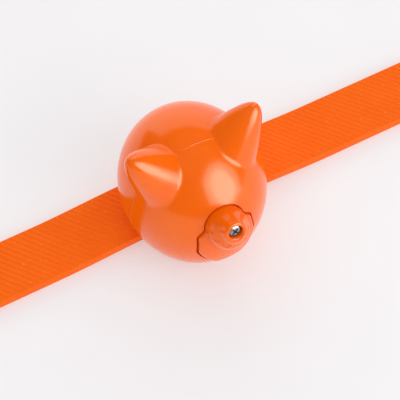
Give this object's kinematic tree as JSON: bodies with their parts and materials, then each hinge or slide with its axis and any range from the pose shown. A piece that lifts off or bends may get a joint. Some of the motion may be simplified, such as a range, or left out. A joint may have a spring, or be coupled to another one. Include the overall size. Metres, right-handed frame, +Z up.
{
  "type": "strap-mounted animal-head case",
  "caption": "Hollow animal-head case with a screwed snout cover over its battery, clamped on a flat ribbed strap with a roller buckle and keepers.",
  "frame": {"origin": "on the table, on the base plate's underside, straight below the head's centre", "axes": "+X along the strap from the buckle end to the tip, -Y the way the face looks, +Z up"},
  "size_m": [0.3369, 0.056, 0.0533],
  "materials": {
    "shell": "satin moulded orange plastic",
    "strap": "satin orange moulded strap with fine slanting ribs",
    "seal": "matt black seal",
    "steel": "bright plated steel",
    "buckle": "satin plated steel",
    "brass": "plain brass",
    "battery": "nickel-plated can",
    "black_plastic": "matt black plastic",
    "board": "green board lacquer"
  },
  "bodies": {
    "casing": {"rear_shell": "shell", "front_shell": "shell", "screw_insert": "brass", "base_plate": "shell", "base_screws": "steel", "case_screws": "steel", "battery_holder": "black_plastic", "battery_cell": "battery", "battery_spring": "steel", "circuit_board": "board", "board_screws": "steel", "radio_module": "battery", "board_chips": "black_plastic", "antenna_loop": "brass", "sounder": "black_plastic", "strap": "strap", "buckle_pin": "buckle", "fixed_keeper": "strap"},
    "cover": {"snout_cover": "shell", "cover_seal": "seal", "cover_contact": "brass"},
    "nose_screw": {"nose_screw": "steel", "screw_retainer": "steel"},
    "buckle_frame": {"buckle_frame": "buckle"},
    "buckle_prong": {"buckle_prong": "buckle"},
    "buckle_roller": {"buckle_roller": "buckle"},
    "sliding_keeper": {"sliding_keeper": "strap"}
  },
  "joints": [
    {"name": "cover_lift", "type": "slide", "parent": "casing", "child": "cover", "axis": [0, -0.9272, 0.3746], "range_m": [0, 0.016]},
    {"name": "nose_screw_turn", "type": "hinge", "parent": "cover", "child": "nose_screw", "pos_m": [0, -0.02735, 0.03455], "axis": [0, -0.9272, 0.3746], "continuous": true},
    {"name": "buckle_frame_swing", "type": "hinge", "parent": "casing", "child": "buckle_frame", "pos_m": [-0.15, 0.0075, 0.003], "axis": [0, 1, 0], "range_deg": [-60, 100]},
    {"name": "prong_swing", "type": "hinge", "parent": "buckle_frame", "child": "buckle_prong", "pos_m": [-0.15, 0.0075, 0.003], "axis": [0, 1, 0], "range_deg": [0, 110]},
    {"name": "roller_spin", "type": "hinge", "parent": "buckle_frame", "child": "buckle_roller", "pos_m": [-0.16496, 0.0075, 0.0019], "axis": [0, 1, 0], "continuous": true},
    {"name": "keeper_slide", "type": "slide", "parent": "casing", "child": "sliding_keeper", "axis": [1, 0, 0], "range_m": [-0.007, 0.02]}
  ]
}
